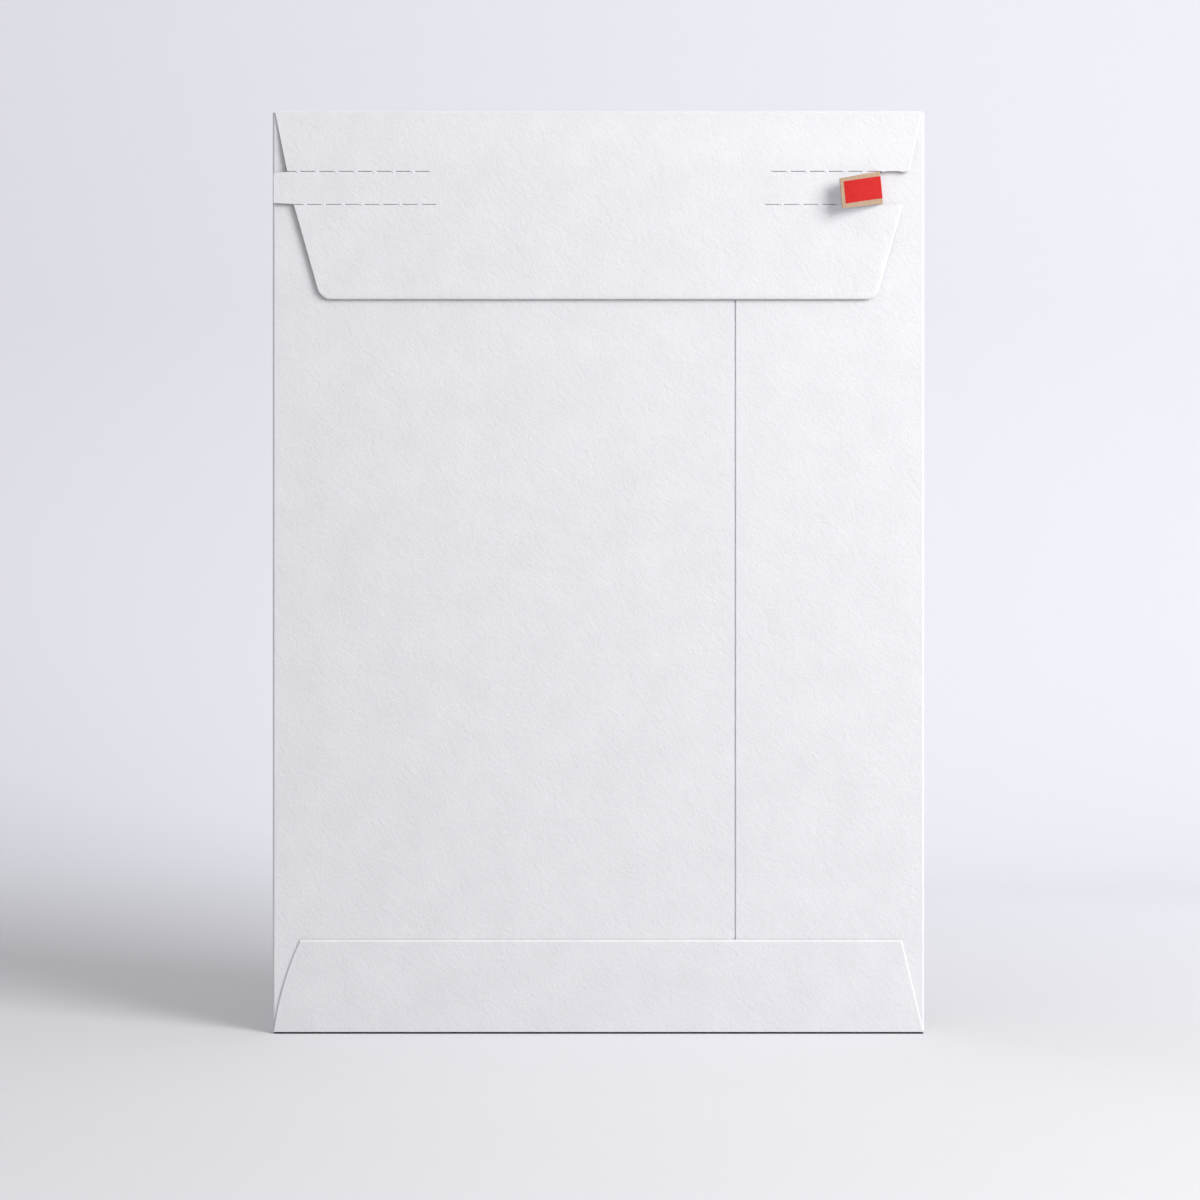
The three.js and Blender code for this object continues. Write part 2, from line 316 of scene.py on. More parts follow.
def makeSmearedFinish(name, finish):
    material, tree, shader = newFinish(name, finish)
    place = addNode(tree, "ShaderNodeTexCoord", (-1100, 0))
    smear = addNoise(tree, place.outputs["Object"], finish["smear"], (-850, 200))
    addTone(tree, smear, finish["dark"], finish["light"], shader.inputs["Base Color"])
    addBump(tree, smear, finish["depth"], shader)
    return material


whiteBoard = makeWhiteBoard()
kraftBoard = makeKraftBoard()
redTape = makeRedTape()
driedGlue = makeSmearedFinish("dried_glue", glueFinish)
tackyFilm = makeSmearedFinish("tacky_adhesive", filmFinish)
linerPaper = makeSmearedFinish("release_liner_paper", linerFinish)
print("finishes made")


# Modelling helpers
meshCare = {
    "flatWithin": 0.5,        # degrees between faces that a copy joins into one
    "sharpFrom": 35,          # and between faces whose edge stays sharp
    "weight": 80,             # pull of the large faces on the smoothed normals
    "liningInset": 3 * mm,    # the middle of the pocket, for the lining, stops this far inside its rim
    "liningTurn": 0.6,        # a face turned this much towards the middle is lining
}


def only(piece):
    if bpy.context.object and bpy.context.object.mode != "OBJECT":
        bpy.ops.object.mode_set(mode="OBJECT")
    bpy.ops.object.select_all(action="DESELECT")
    piece.select_set(True)
    bpy.context.view_layer.objects.active = piece


def selectEdges(piece, wanted):
    only(piece)
    bpy.context.tool_settings.mesh_select_mode = (False, True, False)
    mesh = piece.data
    for part in (mesh.vertices, mesh.polygons):
        part.foreach_set("select", [False] * len(part))
    for edge in mesh.edges:
        start, end = (mesh.vertices[i].co for i in edge.vertices)
        edge.select = wanted(start, end)
    bpy.ops.object.mode_set(mode="EDIT")


def bevelEdges(piece, wanted, width, segments=3, clamp=True):
    selectEdges(piece, wanted)
    bpy.ops.mesh.bevel(
        offset=width,
        offset_type="OFFSET",
        segments=segments,
        profile=0.5,
        clamp_overlap=clamp,
    )
    bpy.ops.object.mode_set(mode="OBJECT")


def copyOfNode(node, name):
    piece = bpy.data.objects.new(name, frame["nodes"][node].data.copy())
    bpy.context.scene.collection.objects.link(piece)
    piece.data.materials.clear()
    only(piece)
    bpy.ops.object.mode_set(mode="EDIT")
    bpy.ops.mesh.select_all(action="SELECT")
    bpy.ops.mesh.remove_doubles(threshold=mergeWithin)
    bpy.ops.mesh.dissolve_limited(angle_limit=math.radians(meshCare["flatWithin"]))
    bpy.ops.object.mode_set(mode="OBJECT")
    return piece


def cutAcross(piece, normal, places, middle=(0, 0, 0)):
    only(piece)
    bpy.ops.object.mode_set(mode="EDIT")
    for place in places:
        bpy.ops.mesh.select_all(action="SELECT")
        bpy.ops.mesh.bisect(plane_co=Vector(middle) + Vector(normal) * place, plane_no=normal)
    bpy.ops.object.mode_set(mode="OBJECT")


def trim(piece, point, normal):
    only(piece)
    bpy.ops.object.mode_set(mode="EDIT")
    bpy.ops.mesh.select_all(action="SELECT")
    bpy.ops.mesh.bisect(plane_co=point, plane_no=normal, use_fill=True, clear_outer=True)
    bpy.ops.object.mode_set(mode="OBJECT")


def smooth(piece, angle=meshCare["sharpFrom"]):
    only(piece)
    bpy.ops.object.shade_smooth_by_angle(angle=math.radians(angle))
    bpy.ops.object.modifier_add(type="WEIGHTED_NORMAL")
    weigh = piece.modifiers[-1]
    weigh.keep_sharp = True
    weigh.weight = meshCare["weight"]
    bpy.ops.object.modifier_apply(modifier=weigh.name)


def paintSides(piece):
    # The side of the board that faces the pocket is the tan one
    piece.data.materials.append(whiteBoard)
    piece.data.materials.append(kraftBoard)
    inset = meshCare["liningInset"]
    for face in piece.data.polygons:
        centre = face.center
        core = Vector((
            max(min(centre.x, sideEdge - inset), inset - sideEdge),
            pocketMiddle,
            max(min(centre.z, envelopeTop - inset), inset),
        ))
        inward = (core - centre).normalized()
        face.material_index = 1 if face.normal.dot(inward) > meshCare["liningTurn"] else 0


def finishPiece(piece, body, slot, *nodes):
    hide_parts(*nodes)
    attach(piece, body)
    return piece


def bendPiece(piece, bodies, ends, slot, *nodes):
    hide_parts(*nodes)
    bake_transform(piece)
    return piece


def onPlane(start, end, axis, place):
    return abs(start[axis] - place) < slack and abs(end[axis] - place) < slack


def thicken(piece, thickness, outward):
    # outward is the direction that the face furthest that way looks in
    only(piece)
    bpy.ops.object.mode_set(mode="EDIT")
    bpy.ops.mesh.select_all(action="SELECT")
    bpy.ops.mesh.remove_doubles(threshold=mergeWithin)
    bpy.ops.mesh.normals_make_consistent(inside=False)
    bpy.ops.object.mode_set(mode="OBJECT")
    outer = max(piece.data.polygons, key=lambda face: face.center.dot(Vector(outward)))
    if outer.normal.dot(Vector(outward)) < 0:
        bpy.ops.object.mode_set(mode="EDIT")
        bpy.ops.mesh.select_all(action="SELECT")
        bpy.ops.mesh.flip_normals()
        bpy.ops.object.mode_set(mode="OBJECT")
    bpy.ops.object.modifier_add(type="SOLIDIFY")
    wall = piece.modifiers[-1]
    wall.thickness = thickness
    wall.offset = -1
    wall.use_even_offset = True
    wall.material_offset = 1
    bpy.ops.object.modifier_apply(modifier=wall.name)


def newPlate(name, place, size, turn=(0, 0, 0)):
    bpy.ops.object.select_all(action="DESELECT")
    bpy.ops.mesh.primitive_plane_add(size=1, location=place, rotation=turn)
    piece = bpy.context.object
    piece.name = name
    piece.scale = (*size, 1)
    bpy.ops.object.transform_apply(location=True, rotation=True, scale=True)
    return piece


# Pocket: rear panel, front panels and the folds between them
pocket = {
    "groove": 0.48 * mm,        # width of the seam, in which the left board steps back
    "grooveWall": 0.04 * mm,
    "seamEdge": 0.08 * mm,      # rounding of the right panel's edge over the seam
    "flapEdge": 0.46 * mm,      # and of the bottom flap's edges
    "topSlope": 0.28 * mm,      # the flap's top edge is pressed down this much further
    "crisp": 20,                # degrees from which the flap's edges stay sharp
    "dent": (0.5 * mm, 0.26 * mm),   # height and depth of the line that the press left above it
    "dentEnd": 1.5 * mm,        # the line runs out over this length beyond the flap's corners
    "footRise": 0.6 * mm,       # the bottom board sags, so the creases beside it stand this high
    "footFlat": 0.9 * mm,       # half the width that still touches the ground
    "footInside": 0.1,          # share of its height that the inside of the fold keeps
}


def makePocketBoard(node, edge=None, width=0, shape=None, segments=3, angle=meshCare["sharpFrom"]):
    piece = copyOfNode(node, node + "_board")
    if edge:
        bevelEdges(piece, edge, width, segments)
    if shape:
        shape(piece)
    smooth(piece, angle)
    paintSides(piece)
    return finishPiece(piece, "pocket", "white_board", node)


def narrowSeam(piece):
    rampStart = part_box("seam_tongue")[0].x
    stepStart = seamX - pocket["groove"]
    for point in piece.data.vertices:
        if abs(point.co.x - seamX) < slack:
            front = point.co.y < panelFront + 1.5 * board    # and not on the tongue's face behind it
            point.co.x = stepStart + (pocket["grooveWall"] if front else -board)
        elif abs(point.co.x - rampStart) < slack:
            point.co.x = stepStart


def dentAlongFlap(piece):
    points = [point.co for point in frame["nodes"]["bottom_flap"].data.vertices]
    top = max(point.z for point in points)
    corners = [point.x for point in points if top - point.z < slack]
    left, right = min(corners), max(corners)
    height, depth = pocket["dent"]
    cutAcross(piece, (0, 0, 1), (top - height, top, top + height))
    cutAcross(piece, (1, 0, 0), (left - pocket["dentEnd"], left, right, right + pocket["dentEnd"]))
    for point in piece.data.vertices:
        onFlap = left - slack < point.co.x < right + slack and abs(point.co.z - top) < slack
        if onFlap and abs(point.co.y - panelFront) < slack:
            point.co.y += depth


def shapeLeftPanel(piece):
    narrowSeam(piece)
    dentAlongFlap(piece)


def pressTop(piece):
    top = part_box("bottom_flap")[1].z
    for point in piece.data.vertices:
        if abs(point.co.y - bottomFront) < slack and top - point.co.z < 2 * pocket["flapEdge"]:
            point.co.z -= pocket["topSlope"]


def sagFoot(piece):
    low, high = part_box("bottom_fold")
    radius = high.z - low.z
    flat = pocket["footFlat"]
    rise = pocket["footRise"]
    cutAcross(piece, (0, 1, 0), (-flat, flat))
    for point in piece.data.vertices:
        across = high.y - abs(point.co.y)      # from the outer face
        if abs(point.co.y) < flat + slack:
            continue
        away = math.hypot(radius - across, radius - point.co.z)
        if away > radius - board / 2:
            point.co.y += math.copysign(across * rise / radius, point.co.y)
            point.co.z = rise + point.co.z * (radius - rise) / radius
        else:
            point.co.z = radius - (radius - point.co.z) * pocket["footInside"]


makePocketBoard("rear_panel")
makePocketBoard("left_side_fold")
makePocketBoard("right_side_fold")
makePocketBoard("front_left_panel", shape=shapeLeftPanel)
makePocketBoard("seam_tongue", shape=narrowSeam)
makePocketBoard(
    "front_right_panel",
    lambda start, end: onPlane(start, end, 0, seamX) and onPlane(start, end, 1, panelFront),
    pocket["seamEdge"],
    dentAlongFlap,
)
makePocketBoard("bottom_fold", shape=sagFoot)

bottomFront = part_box("bottom_flap")[0].y
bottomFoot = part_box("bottom_flap")[0].z
makePocketBoard(
    "bottom_flap",
    lambda start, end: onPlane(start, end, 1, bottomFront) and not onPlane(start, end, 2, bottomFoot),
    pocket["flapEdge"],
    pressTop,
    segments=1,
    angle=pocket["crisp"],
)
for node in ("side_seam_glue", "bottom_flap_glue"):
    for place in frame["nodes"][node].material_slots:
        place.material = driedGlue
print("pocket made")


# Closure flap: it lies on the panels at its crease and stands off them further down
flap = {
    "gaps": (0.06 * mm, 1.1 * mm, 1.0 * mm),   # to the panels, at the top, the middle and the foot
    "settled": 0.3,           # share of the height over which it comes off them
    "rim": 0.06 * mm,
    "litRim": 0.42 * mm,      # the right side's rim is softer and catches the light
    "footRim": 0.36 * mm,     # and the foot's turns away from it
    "slitLip": 0.22 * mm,     # rounding under each perforation slit
    "nib": (0.5 * mm, 0.15 * mm, 0.4 * mm),    # half sizes of the raised spot on each bridge
    "nibDrop": 0.2 * mm,
    "bridge": 3 * mm,         # longest bridge between two slits of one row
    "beside": 0.5 * mm,       # the rounding of a row's last slit ends this far beyond it
    "cuts": 36,               # across the whole flap, to bow it
    "fewestCuts": 6,
    "layerCuts": 4,
    "tearNear": 0.4 * mm,     # an edge this close to a tear line belongs to it
    "footNear": 2 * mm,
}


def bowAt(height):
    share = max(0, min(1, (flapTop - height) / (flapTop - flapBottom)))
    rise = min(share / flap["settled"], 1)
    rise = rise * rise * (3 - 2 * rise)
    top, middle, foot = flap["gaps"]
    gap = top + (middle - top) * rise + (foot - middle) * share**2
    return panelFront - flapBack - gap


def bow(piece):
    for point in piece.data.vertices:
        point.co.y += bowAt(point.co.z)


def levels(low, high, count):
    return [low + (high - low) * i / count for i in range(1, count)]


def slitEnds(node, level):
    # The slits' ends stand at this level in the frame's own mesh, in order from the left
    points = frame["nodes"][node].data.vertices
    found = sorted({round(point.co.x, 6) for point in points if abs(point.co.z - level) < slack})
    return list(zip(found[::2], found[1::2]))


def onTearLine(start, end):
    level = (start.z + end.z) / 2
    return min(abs(level - upperTear), abs(level - lowerTear)) < flap["tearNear"]


def cutsAt(spans):
    places = [place for span in spans for place in span]
    for (_, left), (right, _) in zip(spans, spans[1:]):
        if right - left > flap["bridge"]:
            places += [left + flap["beside"], right - flap["beside"]]
    return places


def underSlit(start, end, spans, level):
    if not (onPlane(start, end, 1, flapFront) and onPlane(start, end, 2, level)):
        return False
    middle = (start.x + end.x) / 2
    return any(left < middle < right for left, right in spans)


slitWidth = min(
    point.co.z - upperTear
    for point in frame["nodes"]["closure_flap_upper"].data.vertices
    if point.co.z - upperTear > slack
)
upperSlits = slitEnds("closure_flap_upper", upperTear + slitWidth)
lowerSlits = slitEnds("closure_flap_lower", lowerTear - slitWidth)

rightFold = Vector(hinges["right_tab_crease"]["pos_m"])
rightFoldUp = Vector(hinges["right_tab_crease"]["axis"]).normalized()
rightFoldOut = Vector((rightFoldUp.z, 0, -rightFoldUp.x))
leftFold = Vector(hinges["left_tab_crease"]["pos_m"])
leftFoldUp = Vector(hinges["left_tab_crease"]["axis"]).normalized()
leftFoldOut = Vector((-leftFoldUp.z, 0, leftFoldUp.x))
stripMiddle = (upperTear + lowerTear) / 2

# Right pull tab: the strip's end, bent back over the strip
rightTab = {
    "bend": 0.6 * mm,         # outer radius
    "setBack": 0.65 * mm,     # the bend starts this far inside the fold line
    "lift": (22, 15),         # degrees off the strip, near the bend and at the end
    "lead": 0.04 * mm,        # flat start of the bend, inside the strip's end
    "run": 15.3 * mm,
    "rootHalf": 5.72 * mm,
    "endHalf": 5.2 * mm,
    "tapeHalf": 3.88 * mm,
    "tapeUp": 0.1 * mm,       # the tape lies a little above the tab's middle
    "tapeEnd": 1.3 * mm,
    "tape": 0.1 * mm,
    "tapeWall": 0.9,          # share of the tape's thickness, so that it clears the board
    "bendEnds": (0.02 * mm, -0.28 * mm),    # where it starts and stops bending, behind the strip's front
    "bendSteps": 12,
    "runSteps": 8,
}
bendStart = rightFold - rightFoldOut * rightTab["setBack"]
stripBack = flapBack + bowAt(stripMiddle)
stripFront = flapFront + bowAt(stripMiddle)


def onFlapRim(start, end):
    onCrease = onPlane(start, end, 2, flapTop)
    return onPlane(start, end, 1, flapFront) and not onTearLine(start, end) and not onCrease


def onRightRim(start, end):
    return onFlapRim(start, end) and start.x > 0 and abs(start.x - end.x) < abs(start.z - end.z)


def onFootRim(start, end):
    low = max(start.z, end.z) < flapBottom + flap["footNear"]
    return onFlapRim(start, end) and low and not onRightRim(start, end)


def onOtherRim(start, end):
    return onFlapRim(start, end) and not onRightRim(start, end) and not onFootRim(start, end)


def makeFlapBoard(node, rims, shape=None):
    piece = copyOfNode(node, node + "_board")
    low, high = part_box(node)
    for rim, width in rims:
        bevelEdges(piece, rim, width, segments=1, clamp=False)
    if shape:
        shape(piece)
    count = max(flap["fewestCuts"], round(flap["cuts"] * (high.z - low.z) / (flapTop - flapBottom)))
    cutAcross(piece, (0, 0, 1), levels(low.z, high.z, count))
    bow(piece)
    smooth(piece)
    paintSides(piece)
    return finishPiece(piece, "closure_flap", "white_board", node)


def addNibs(piece, spans, level):
    only(piece)
    bpy.ops.object.mode_set(mode="EDIT")
    for (_, left), (right, _) in zip(spans, spans[1:]):
        if right - left > flap["bridge"]:
            continue
        place = ((left + right) / 2, flapFront, level - flap["nibDrop"])
        bpy.ops.mesh.select_all(action="DESELECT")
        bpy.ops.mesh.primitive_uv_sphere_add(segments=16, ring_count=8, radius=1, location=place)
        bpy.ops.transform.resize(value=flap["nib"], center_override=place)
    bpy.ops.object.mode_set(mode="OBJECT")


def roundSlits(piece, spans, level):
    cutAcross(piece, (1, 0, 0), cutsAt(spans))
    bevelEdges(
        piece,
        lambda start, end: underSlit(start, end, spans, level),
        flap["slitLip"],
        segments=2,
    )


def lipStrip(piece):
    roundSlits(piece, upperSlits, upperTear)
    trim(piece, bendStart, rightFoldOut)
    addNibs(piece, [span for span in upperSlits if span[1] < bendStart.x], upperTear)


def lipLower(piece):
    roundSlits(piece, lowerSlits, lowerTear - slitWidth)
    addNibs(piece, lowerSlits, lowerTear)


flapRims = ((onRightRim, flap["litRim"]), (onFootRim, flap["footRim"]), (onOtherRim, flap["rim"]))
makeFlapBoard("closure_flap_upper", flapRims)
makeFlapBoard("tear_strip", (), lipStrip)
makeFlapBoard("closure_flap_lower", flapRims, lipLower)


def makeFlapLayer(node, material, slot):
    piece = copyOfNode(node, node + "_layer")
    low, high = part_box(node)
    if node == "tear_tape":
        trim(piece, bendStart, rightFoldOut)
    cutAcross(piece, (0, 0, 1), levels(low.z, high.z, flap["layerCuts"]))
    bow(piece)
    smooth(piece)
    piece.data.materials.append(material)
    return finishPiece(piece, "closure_flap", slot, node)


makeFlapLayer("tear_tape", redTape, "red_tape")
makeFlapLayer("closure_adhesive", tackyFilm, "adhesive_film")
makeFlapLayer("release_liner", linerPaper, "liner_paper")
print("flap made")


# Top edge: the board turns over from the rear panel to the flap in two rounded creases
crease = {
    "radius": 0.65 * mm,
    "steps": 8,
    # where the board starts and stops bending at the rear crease, past the flat and under the top
    "rearBend": ((0.4 * mm, 0.55 * mm), (-0.05 * mm, 0.1 * mm)),
    "flapBendEnd": 0.05 * mm,     # and at the flap's crease, below the curve
}


def makeTopHalf(name, side, face, bodies):
    radius = crease["radius"]
    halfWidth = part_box("top_fold")[1].x
    reach = abs(face) - radius
    piece = newPlate(name, (0, side * reach / 2, envelopeTop), (2 * halfWidth, reach))
    selectEdges(piece, lambda start, end: onPlane(start, end, 1, side * reach))
    bpy.ops.mesh.spin(
        steps=crease["steps"],
        angle=side * math.pi / 2,
        center=(0, side * reach, envelopeTop - radius),
        axis=(1, 0, 0),
    )
    down = (0, 0, panelTop - envelopeTop + radius)
    bpy.ops.mesh.extrude_region_move(TRANSFORM_OT_translate={"value": down})
    bpy.ops.object.mode_set(mode="OBJECT")
    thicken(piece, board, (0, 0, 1))
    smooth(piece)
    paintSides(piece)
    if bodies[0] == "pocket":
        ends = [(0, side * (reach + past), envelopeTop - drop) for past, drop in crease["rearBend"]]
    else:
        ends = ((0, 0, envelopeTop - board), (0, 0, envelopeTop - radius - crease["flapBendEnd"]))
    return bendPiece(piece, bodies, ends, "white_board", "top_fold")


makeTopHalf("rear_crease", 1, rearFace, ("pocket", "top_fold"))
makeTopHalf("flap_crease", -1, flapFront + bowAt(flapTop), ("top_fold", "closure_flap"))
print("top edge made")


# Left pull tab: still flat, creased along the line of the flap's side
leftTab = {
    "join": 0.5 * mm,         # its inner edge is drawn up to the strip's from this far
    "bendCuts": (0.15 * mm, 0.3 * mm, 0.5 * mm, 0.75 * mm),
    "bendWidth": 0.9 * mm,
    "edge": 0.1 * mm,
    "topEdge": 0.4 * mm,
    "upright": 0.3,           # an edge leaning less than this towards the crease is a long side
}


def makeLeftPiece(node, name):
    piece = copyOfNode(node, name)
    for point in piece.data.vertices:
        out = (point.co - leftFold).dot(leftFoldOut)
        if out < leftTab["join"]:
            point.co -= leftFoldOut * out
    cutAcross(piece, leftFoldOut, leftTab["bendCuts"], leftFold)
    return piece


def makeLeftTab():
    ends = (leftFold, leftFold + leftFoldOut * leftTab["bendWidth"])
    piece = makeLeftPiece("left_pull_tab", "left_tab_board")
    crease = leftTab["bendCuts"][0] / 2

    def onSide(start, end, above):
        return (
            onPlane(start, end, 1, flapFront)
            and max((p - leftFold).dot(leftFoldOut) for p in (start, end)) > crease
            and abs((start - end).normalized().dot(leftFoldUp)) < leftTab["upright"]
            and (start.z > stripMiddle) == above
        )

    bevelEdges(piece, lambda start, end: onSide(start, end, False), leftTab["edge"], segments=2)
    bevelEdges(piece, lambda start, end: onSide(start, end, True), leftTab["topEdge"], segments=1)
    bow(piece)
    smooth(piece)
    paintSides(piece)
    bendPiece(piece, ("closure_flap", "left_tab"), ends, "white_board", "left_pull_tab")

    tape = makeLeftPiece("left_tab_tape", "left_tape")
    bow(tape)
    smooth(tape)
    tape.data.materials.append(redTape)
    bendPiece(tape, ("closure_flap", "left_tab"), ends, "red_tape", "left_tab_tape")


makeLeftTab()
print("left tab made")


def foldedRun(name, radius, halves, up, run):
    # The outer surface of the bend and of the run after it
    centre = Vector((bendStart.x, stripBack - rightTab["bend"], bendStart.z)) + rightFoldUp * up
    lead = rightTab["lead"]
    lean = math.atan2(-rightFoldUp.x, rightFoldUp.z)
    start = centre + Vector((0, radius, 0))
    turn = (math.pi / 2, -lean, 0)
    piece = newPlate(name, start - rightFoldOut * lead / 2, (lead, 2 * halves[0]), turn)
    selectEdges(piece, lambda a, b: min((p - start).dot(rightFoldOut) for p in (a, b)) > -lead / 4)
    near, far = rightTab["lift"]
    bpy.ops.mesh.spin(
        steps=rightTab["bendSteps"],
        angle=math.radians(180 - near),
        center=centre,
        axis=rightFoldUp,
    )
    count = rightTab["runSteps"]
    for i in range(count):
        lift = math.radians(near + (far - near) * (i + 0.5) / count)
        away = math.cos(lift) * rightFoldOut + Vector((0, math.sin(lift), 0))
        step = -(math.cos(lean) * away + math.sin(lean) * rightFoldUp) * run / count
        bpy.ops.mesh.extrude_region_move(TRANSFORM_OT_translate={"value": step})
    bpy.ops.object.mode_set(mode="OBJECT")
    for point in piece.data.vertices:
        along = max(0, (centre - point.co).dot(rightFoldOut)) / run if point.co.y < centre.y else 0
        tall = (point.co - centre).dot(rightFoldUp) + along * run * math.tan(lean)
        point.co += rightFoldUp * tall * (halves[1] / halves[0] - 1) * min(1, along)
    return piece


def makeRightTab():
    ends = [(rightFold.x, stripFront + behind, rightFold.z) for behind in rightTab["bendEnds"]]
    bodies = ("closure_flap", "right_tab")
    halves = (rightTab["rootHalf"], rightTab["endHalf"])
    piece = foldedRun("right_tab_board", rightTab["bend"], halves, 0, rightTab["run"])
    piece.data.materials.append(kraftBoard)
    piece.data.materials.append(whiteBoard)
    thicken(piece, board, (0, -1, 0))
    smooth(piece)
    bendPiece(piece, bodies, ends, "white_board", "right_pull_tab")

    tape = foldedRun(
        "right_tape",
        rightTab["bend"] + rightTab["tape"],
        (rightTab["tapeHalf"], rightTab["tapeHalf"]),
        rightTab["tapeUp"],
        rightTab["run"] - rightTab["tapeEnd"],
    )
    tape.data.materials.append(redTape)
    tape.data.materials.append(redTape)
    thicken(tape, rightTab["tape"] * rightTab["tapeWall"], (0, -1, 0))
    smooth(tape)
    bendPiece(tape, bodies, ends, "red_tape", "right_tab_tape")


makeRightTab()
print("right tab made")


# Stage: one sweep of pale paper, floor and backdrop
stage = {
    "halfWidth": 2.2,
    "front": -1.6,
    "back": 0.75,
    "height": 2.0,
    "turn": 0.35,
    "turnSteps": 32,
    "roughness": 0.9,
    "gloss": 0.2,
    "paper": (0.60, 0.60, 0.616),    # as the rest of the scene sees it
    "left": (0.81, 0.81, 0.835),     # and as the camera sees it, from left to right, a little darker on the right: painted shade where the key light falls stronger
    "right": (0.775, 0.775, 0.795),
    "lampSide": (0.40, 0.40, 0.41),  # and beyond the picture, where the key light stands: painted shade, much darker, so that the key light's pool there stays off white
    "fadeWidth": 2.0,
    "fadeEnds": (0.25, 0.75),        # left and right, as shares of that width
    "lampFade": (0.82, 1),           # and on to the lamp's side
    "shadowPatch": (0.1141, 0.0031),     # half the size of the painted shadow, a near-black patch that the envelope stands on
    "shadowPatchColour": (0.02, 0.02, 0.02),
    "glow": 0.155,                   # painted light: a glow of the backdrop, for the camera only
    "glowColour": (1.0, 0.99, 1.22),
    "glowFrom": 0.05,                # it comes up over this run of the sweep, sooner on the right
    "glowTo": 0.45,
    "glowLean": 0.5,
}


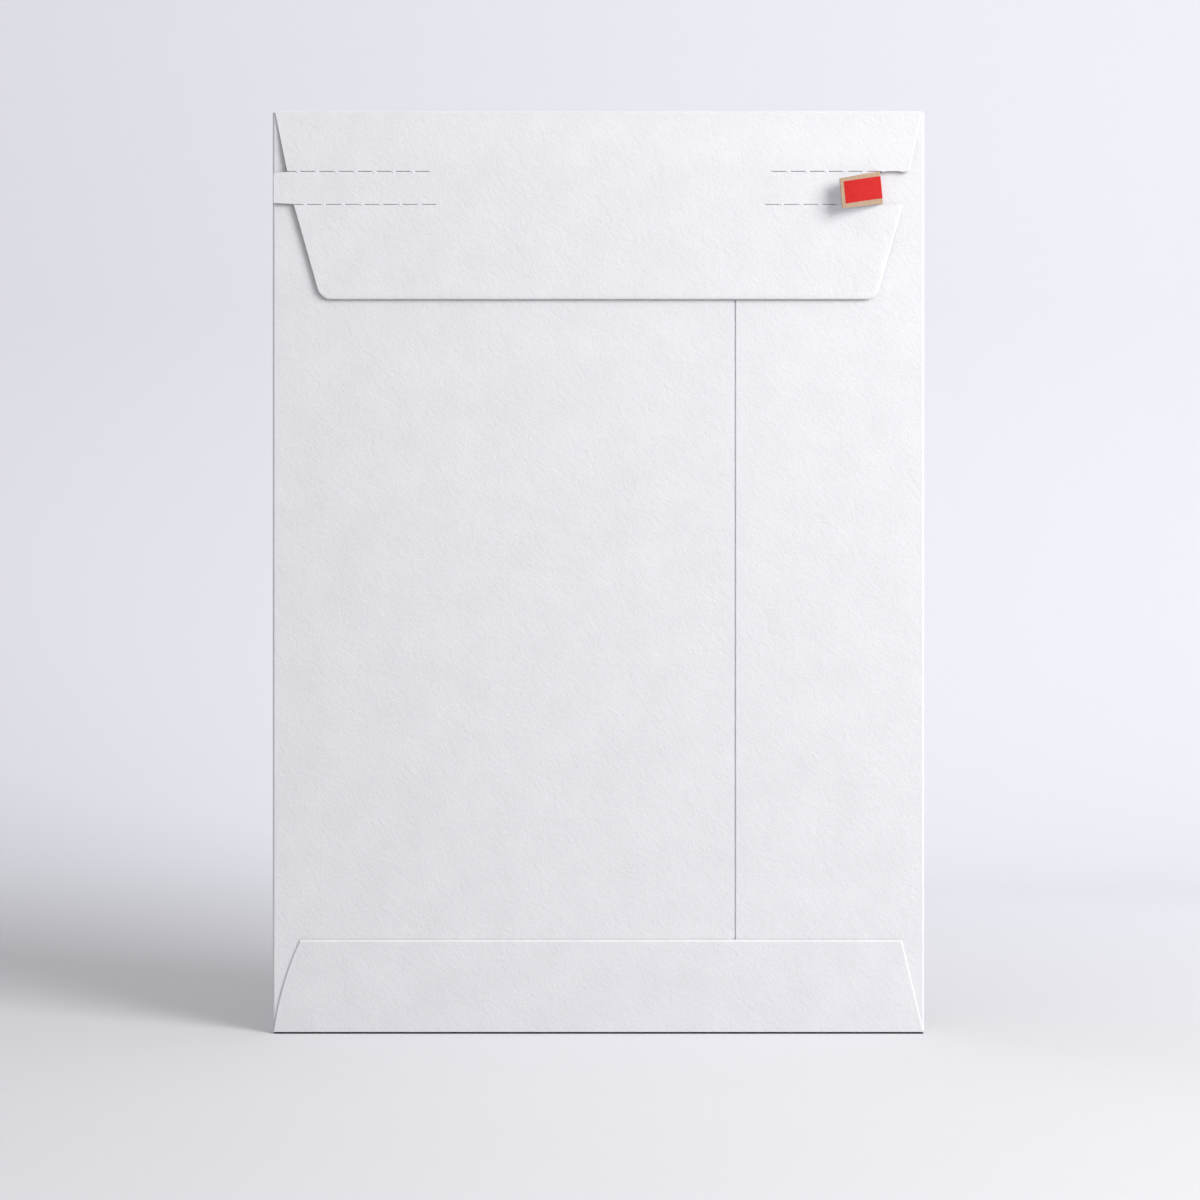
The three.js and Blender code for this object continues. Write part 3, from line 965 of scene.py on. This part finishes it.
def addStage():
    deep = stage["back"] - stage["front"]
    middle = (0, (stage["back"] + stage["front"]) / 2, 0)
    sweep = newPlate("studio_sweep", middle, (2 * stage["halfWidth"], deep))
    selectEdges(sweep, lambda start, end: onPlane(start, end, 1, stage["back"]))
    bpy.ops.mesh.extrude_region_move(TRANSFORM_OT_translate={"value": (0, 0, stage["height"])})
    bpy.ops.object.mode_set(mode="OBJECT")
    bevelEdges(
        sweep,
        lambda start, end: onPlane(start, end, 1, stage["back"]) and onPlane(start, end, 2, 0),
        stage["turn"],
        stage["turnSteps"],
    )
    bpy.ops.object.shade_smooth()
    material = bpy.data.materials.new("pale_sweep")
    tree, shader = nodeTree(material)
    shader.inputs["Roughness"].default_value = stage["roughness"]
    shader.inputs["Specular IOR Level"].default_value = stage["gloss"]
    place = addNode(tree, "ShaderNodeTexCoord", (-1300, 0))
    split = addNode(tree, "ShaderNodeSeparateXYZ", (-1100, 200))
    tree.links.new(place.outputs["Object"], split.inputs["Vector"])
    path = addNode(tree, "ShaderNodeLightPath", (-900, -500))
    seen = path.outputs["Is Camera Ray"]

    fade = addMath(tree, "MULTIPLY_ADD", split.outputs["X"], 1 / stage["fadeWidth"], (-900, 200))
    fade.node.inputs[2].default_value = 0.5
    paper = addNode(tree, "ShaderNodeMix", (-250, 200), data_type="RGBA")
    paper.inputs["A"].default_value = (*stage["paper"], 1)
    tone = addTone(tree, fade, stage["left"], stage["right"], paper.inputs["B"], *stage["fadeEnds"])
    for share, colour in zip(stage["lampFade"], (stage["right"], stage["lampSide"])):
        tone.color_ramp.elements.new(share).color = (*colour, 1)
    tree.links.new(seen, paper.inputs["Factor"])
    # Painted shadow: the floor right under the envelope's foot is near black
    under = []
    for axis, half, y in zip("XY", stage["shadowPatch"], (600, 450)):
        away = addMath(tree, "ABSOLUTE", split.outputs[axis], 0, (-900, y))
        under.append(addMath(tree, "LESS_THAN", away, half, (-700, y)))
    shadowMix = addNode(tree, "ShaderNodeMix", (-50, 300), data_type="RGBA")
    tree.links.new(addMath(tree, "MULTIPLY", *under, (-500, 500)), shadowMix.inputs["Factor"])
    tree.links.new(paper.outputs["Result"], shadowMix.inputs["A"])
    shadowMix.inputs["B"].default_value = (*stage["shadowPatchColour"], 1)
    tree.links.new(shadowMix.outputs["Result"], shader.inputs["Base Color"])

    # Painted light: for the camera the sweep glows, coming up further back and sooner on the right
    along = addMath(tree, "MULTIPLY_ADD", split.outputs["X"], stage["glowLean"], (-1000, -100))
    tree.links.new(split.outputs["Y"], along.node.inputs[2])
    along = addMath(tree, "ADD", along, split.outputs["Z"], (-850, -200))
    rise = addNode(tree, "ShaderNodeMapRange", (-700, -200))
    rise.inputs["From Min"].default_value = stage["glowFrom"]
    rise.inputs["From Max"].default_value = stage["glowTo"]
    rise.inputs["To Max"].default_value = stage["glow"]
    tree.links.new(along, rise.inputs["Value"])
    glow = addMath(tree, "MULTIPLY", rise.outputs["Result"], seen, (-500, -300))
    shader.inputs["Emission Color"].default_value = (*stage["glowColour"], 1)
    tree.links.new(glow, shader.inputs["Emission Strength"])

    # From behind, the camera looks through the backdrop
    facing = addNode(tree, "ShaderNodeNewGeometry", (-900, -700))
    clear = addNode(tree, "ShaderNodeBsdfTransparent", (200, -300))
    choose = addNode(tree, "ShaderNodeMixShader", (450, 0))
    behind = addMath(tree, "MULTIPLY", facing.outputs["Backfacing"], seen, (-500, -600))
    tree.links.new(behind, choose.inputs["Fac"])
    tree.links.new(shader.outputs["BSDF"], choose.inputs[1])
    tree.links.new(clear.outputs["BSDF"], choose.inputs[2])
    surface = next(node for node in tree.nodes if node.type == "OUTPUT_MATERIAL")
    tree.links.new(choose.outputs["Shader"], surface.inputs["Surface"])
    sweep.data.materials.append(material)


addStage()


# Light: a tall key from the right, grazing the front, a wide one above and an even fill
lights = {
    "aim": (0, 0, 0.11),
    "keyAngle": 51,       # degrees round from straight in front, to the right
    "keyRise": 26,
    "keyDistance": 1.25,
    "keySize": (0.74, 0.8),
    "keyPower": 13.6,
    "topPlace": (0, -0.2, 2.0),
    "topSize": (2.2, 1.6),
    "topPower": 7.4,
    "fill": 0.375,
    "fillColour": (0.965, 0.965, 1.0),
    "seenFill": 0.4,      # added to the fill where the camera sees it
}


def addSoftbox(name, place, aim, shape, size, power):
    bpy.ops.object.light_add(type="AREA", location=place)
    lamp = bpy.context.object
    lamp.name = name
    lamp.rotation_euler = (Vector(place) - Vector(aim)).to_track_quat("Z", "Y").to_euler()
    lamp.data.shape = shape
    lamp.data.size, lamp.data.size_y = size
    lamp.data.energy = power


def addLights():
    around = math.radians(lights["keyAngle"])
    rise = math.radians(lights["keyRise"])
    aim = Vector(lights["aim"])
    level = math.cos(rise)
    away = Vector((math.sin(around) * level, -math.cos(around) * level, math.sin(rise)))
    keyPlace = aim + away * lights["keyDistance"]
    addSoftbox("key_light", keyPlace, aim, "ELLIPSE", lights["keySize"], lights["keyPower"])
    above = lights["topPlace"]
    below = (above[0], above[1], 0)
    addSoftbox("top_light", above, below, "RECTANGLE", lights["topSize"], lights["topPower"])

    world = bpy.context.scene.world or bpy.data.worlds.new("studio_air")
    bpy.context.scene.world = world
    world.use_nodes = True
    air = world.node_tree.nodes["Background"]
    air.inputs["Color"].default_value = (*lights["fillColour"], 1)
    path = addNode(world.node_tree, "ShaderNodeLightPath", (-600, 0))
    seen = path.outputs["Is Camera Ray"]
    strength = addMath(world.node_tree, "MULTIPLY_ADD", seen, lights["seenFill"], (-300, 0))
    strength.node.inputs[2].default_value = lights["fill"]
    world.node_tree.links.new(strength, air.inputs["Strength"])


addLights()
print("stage and lights set")
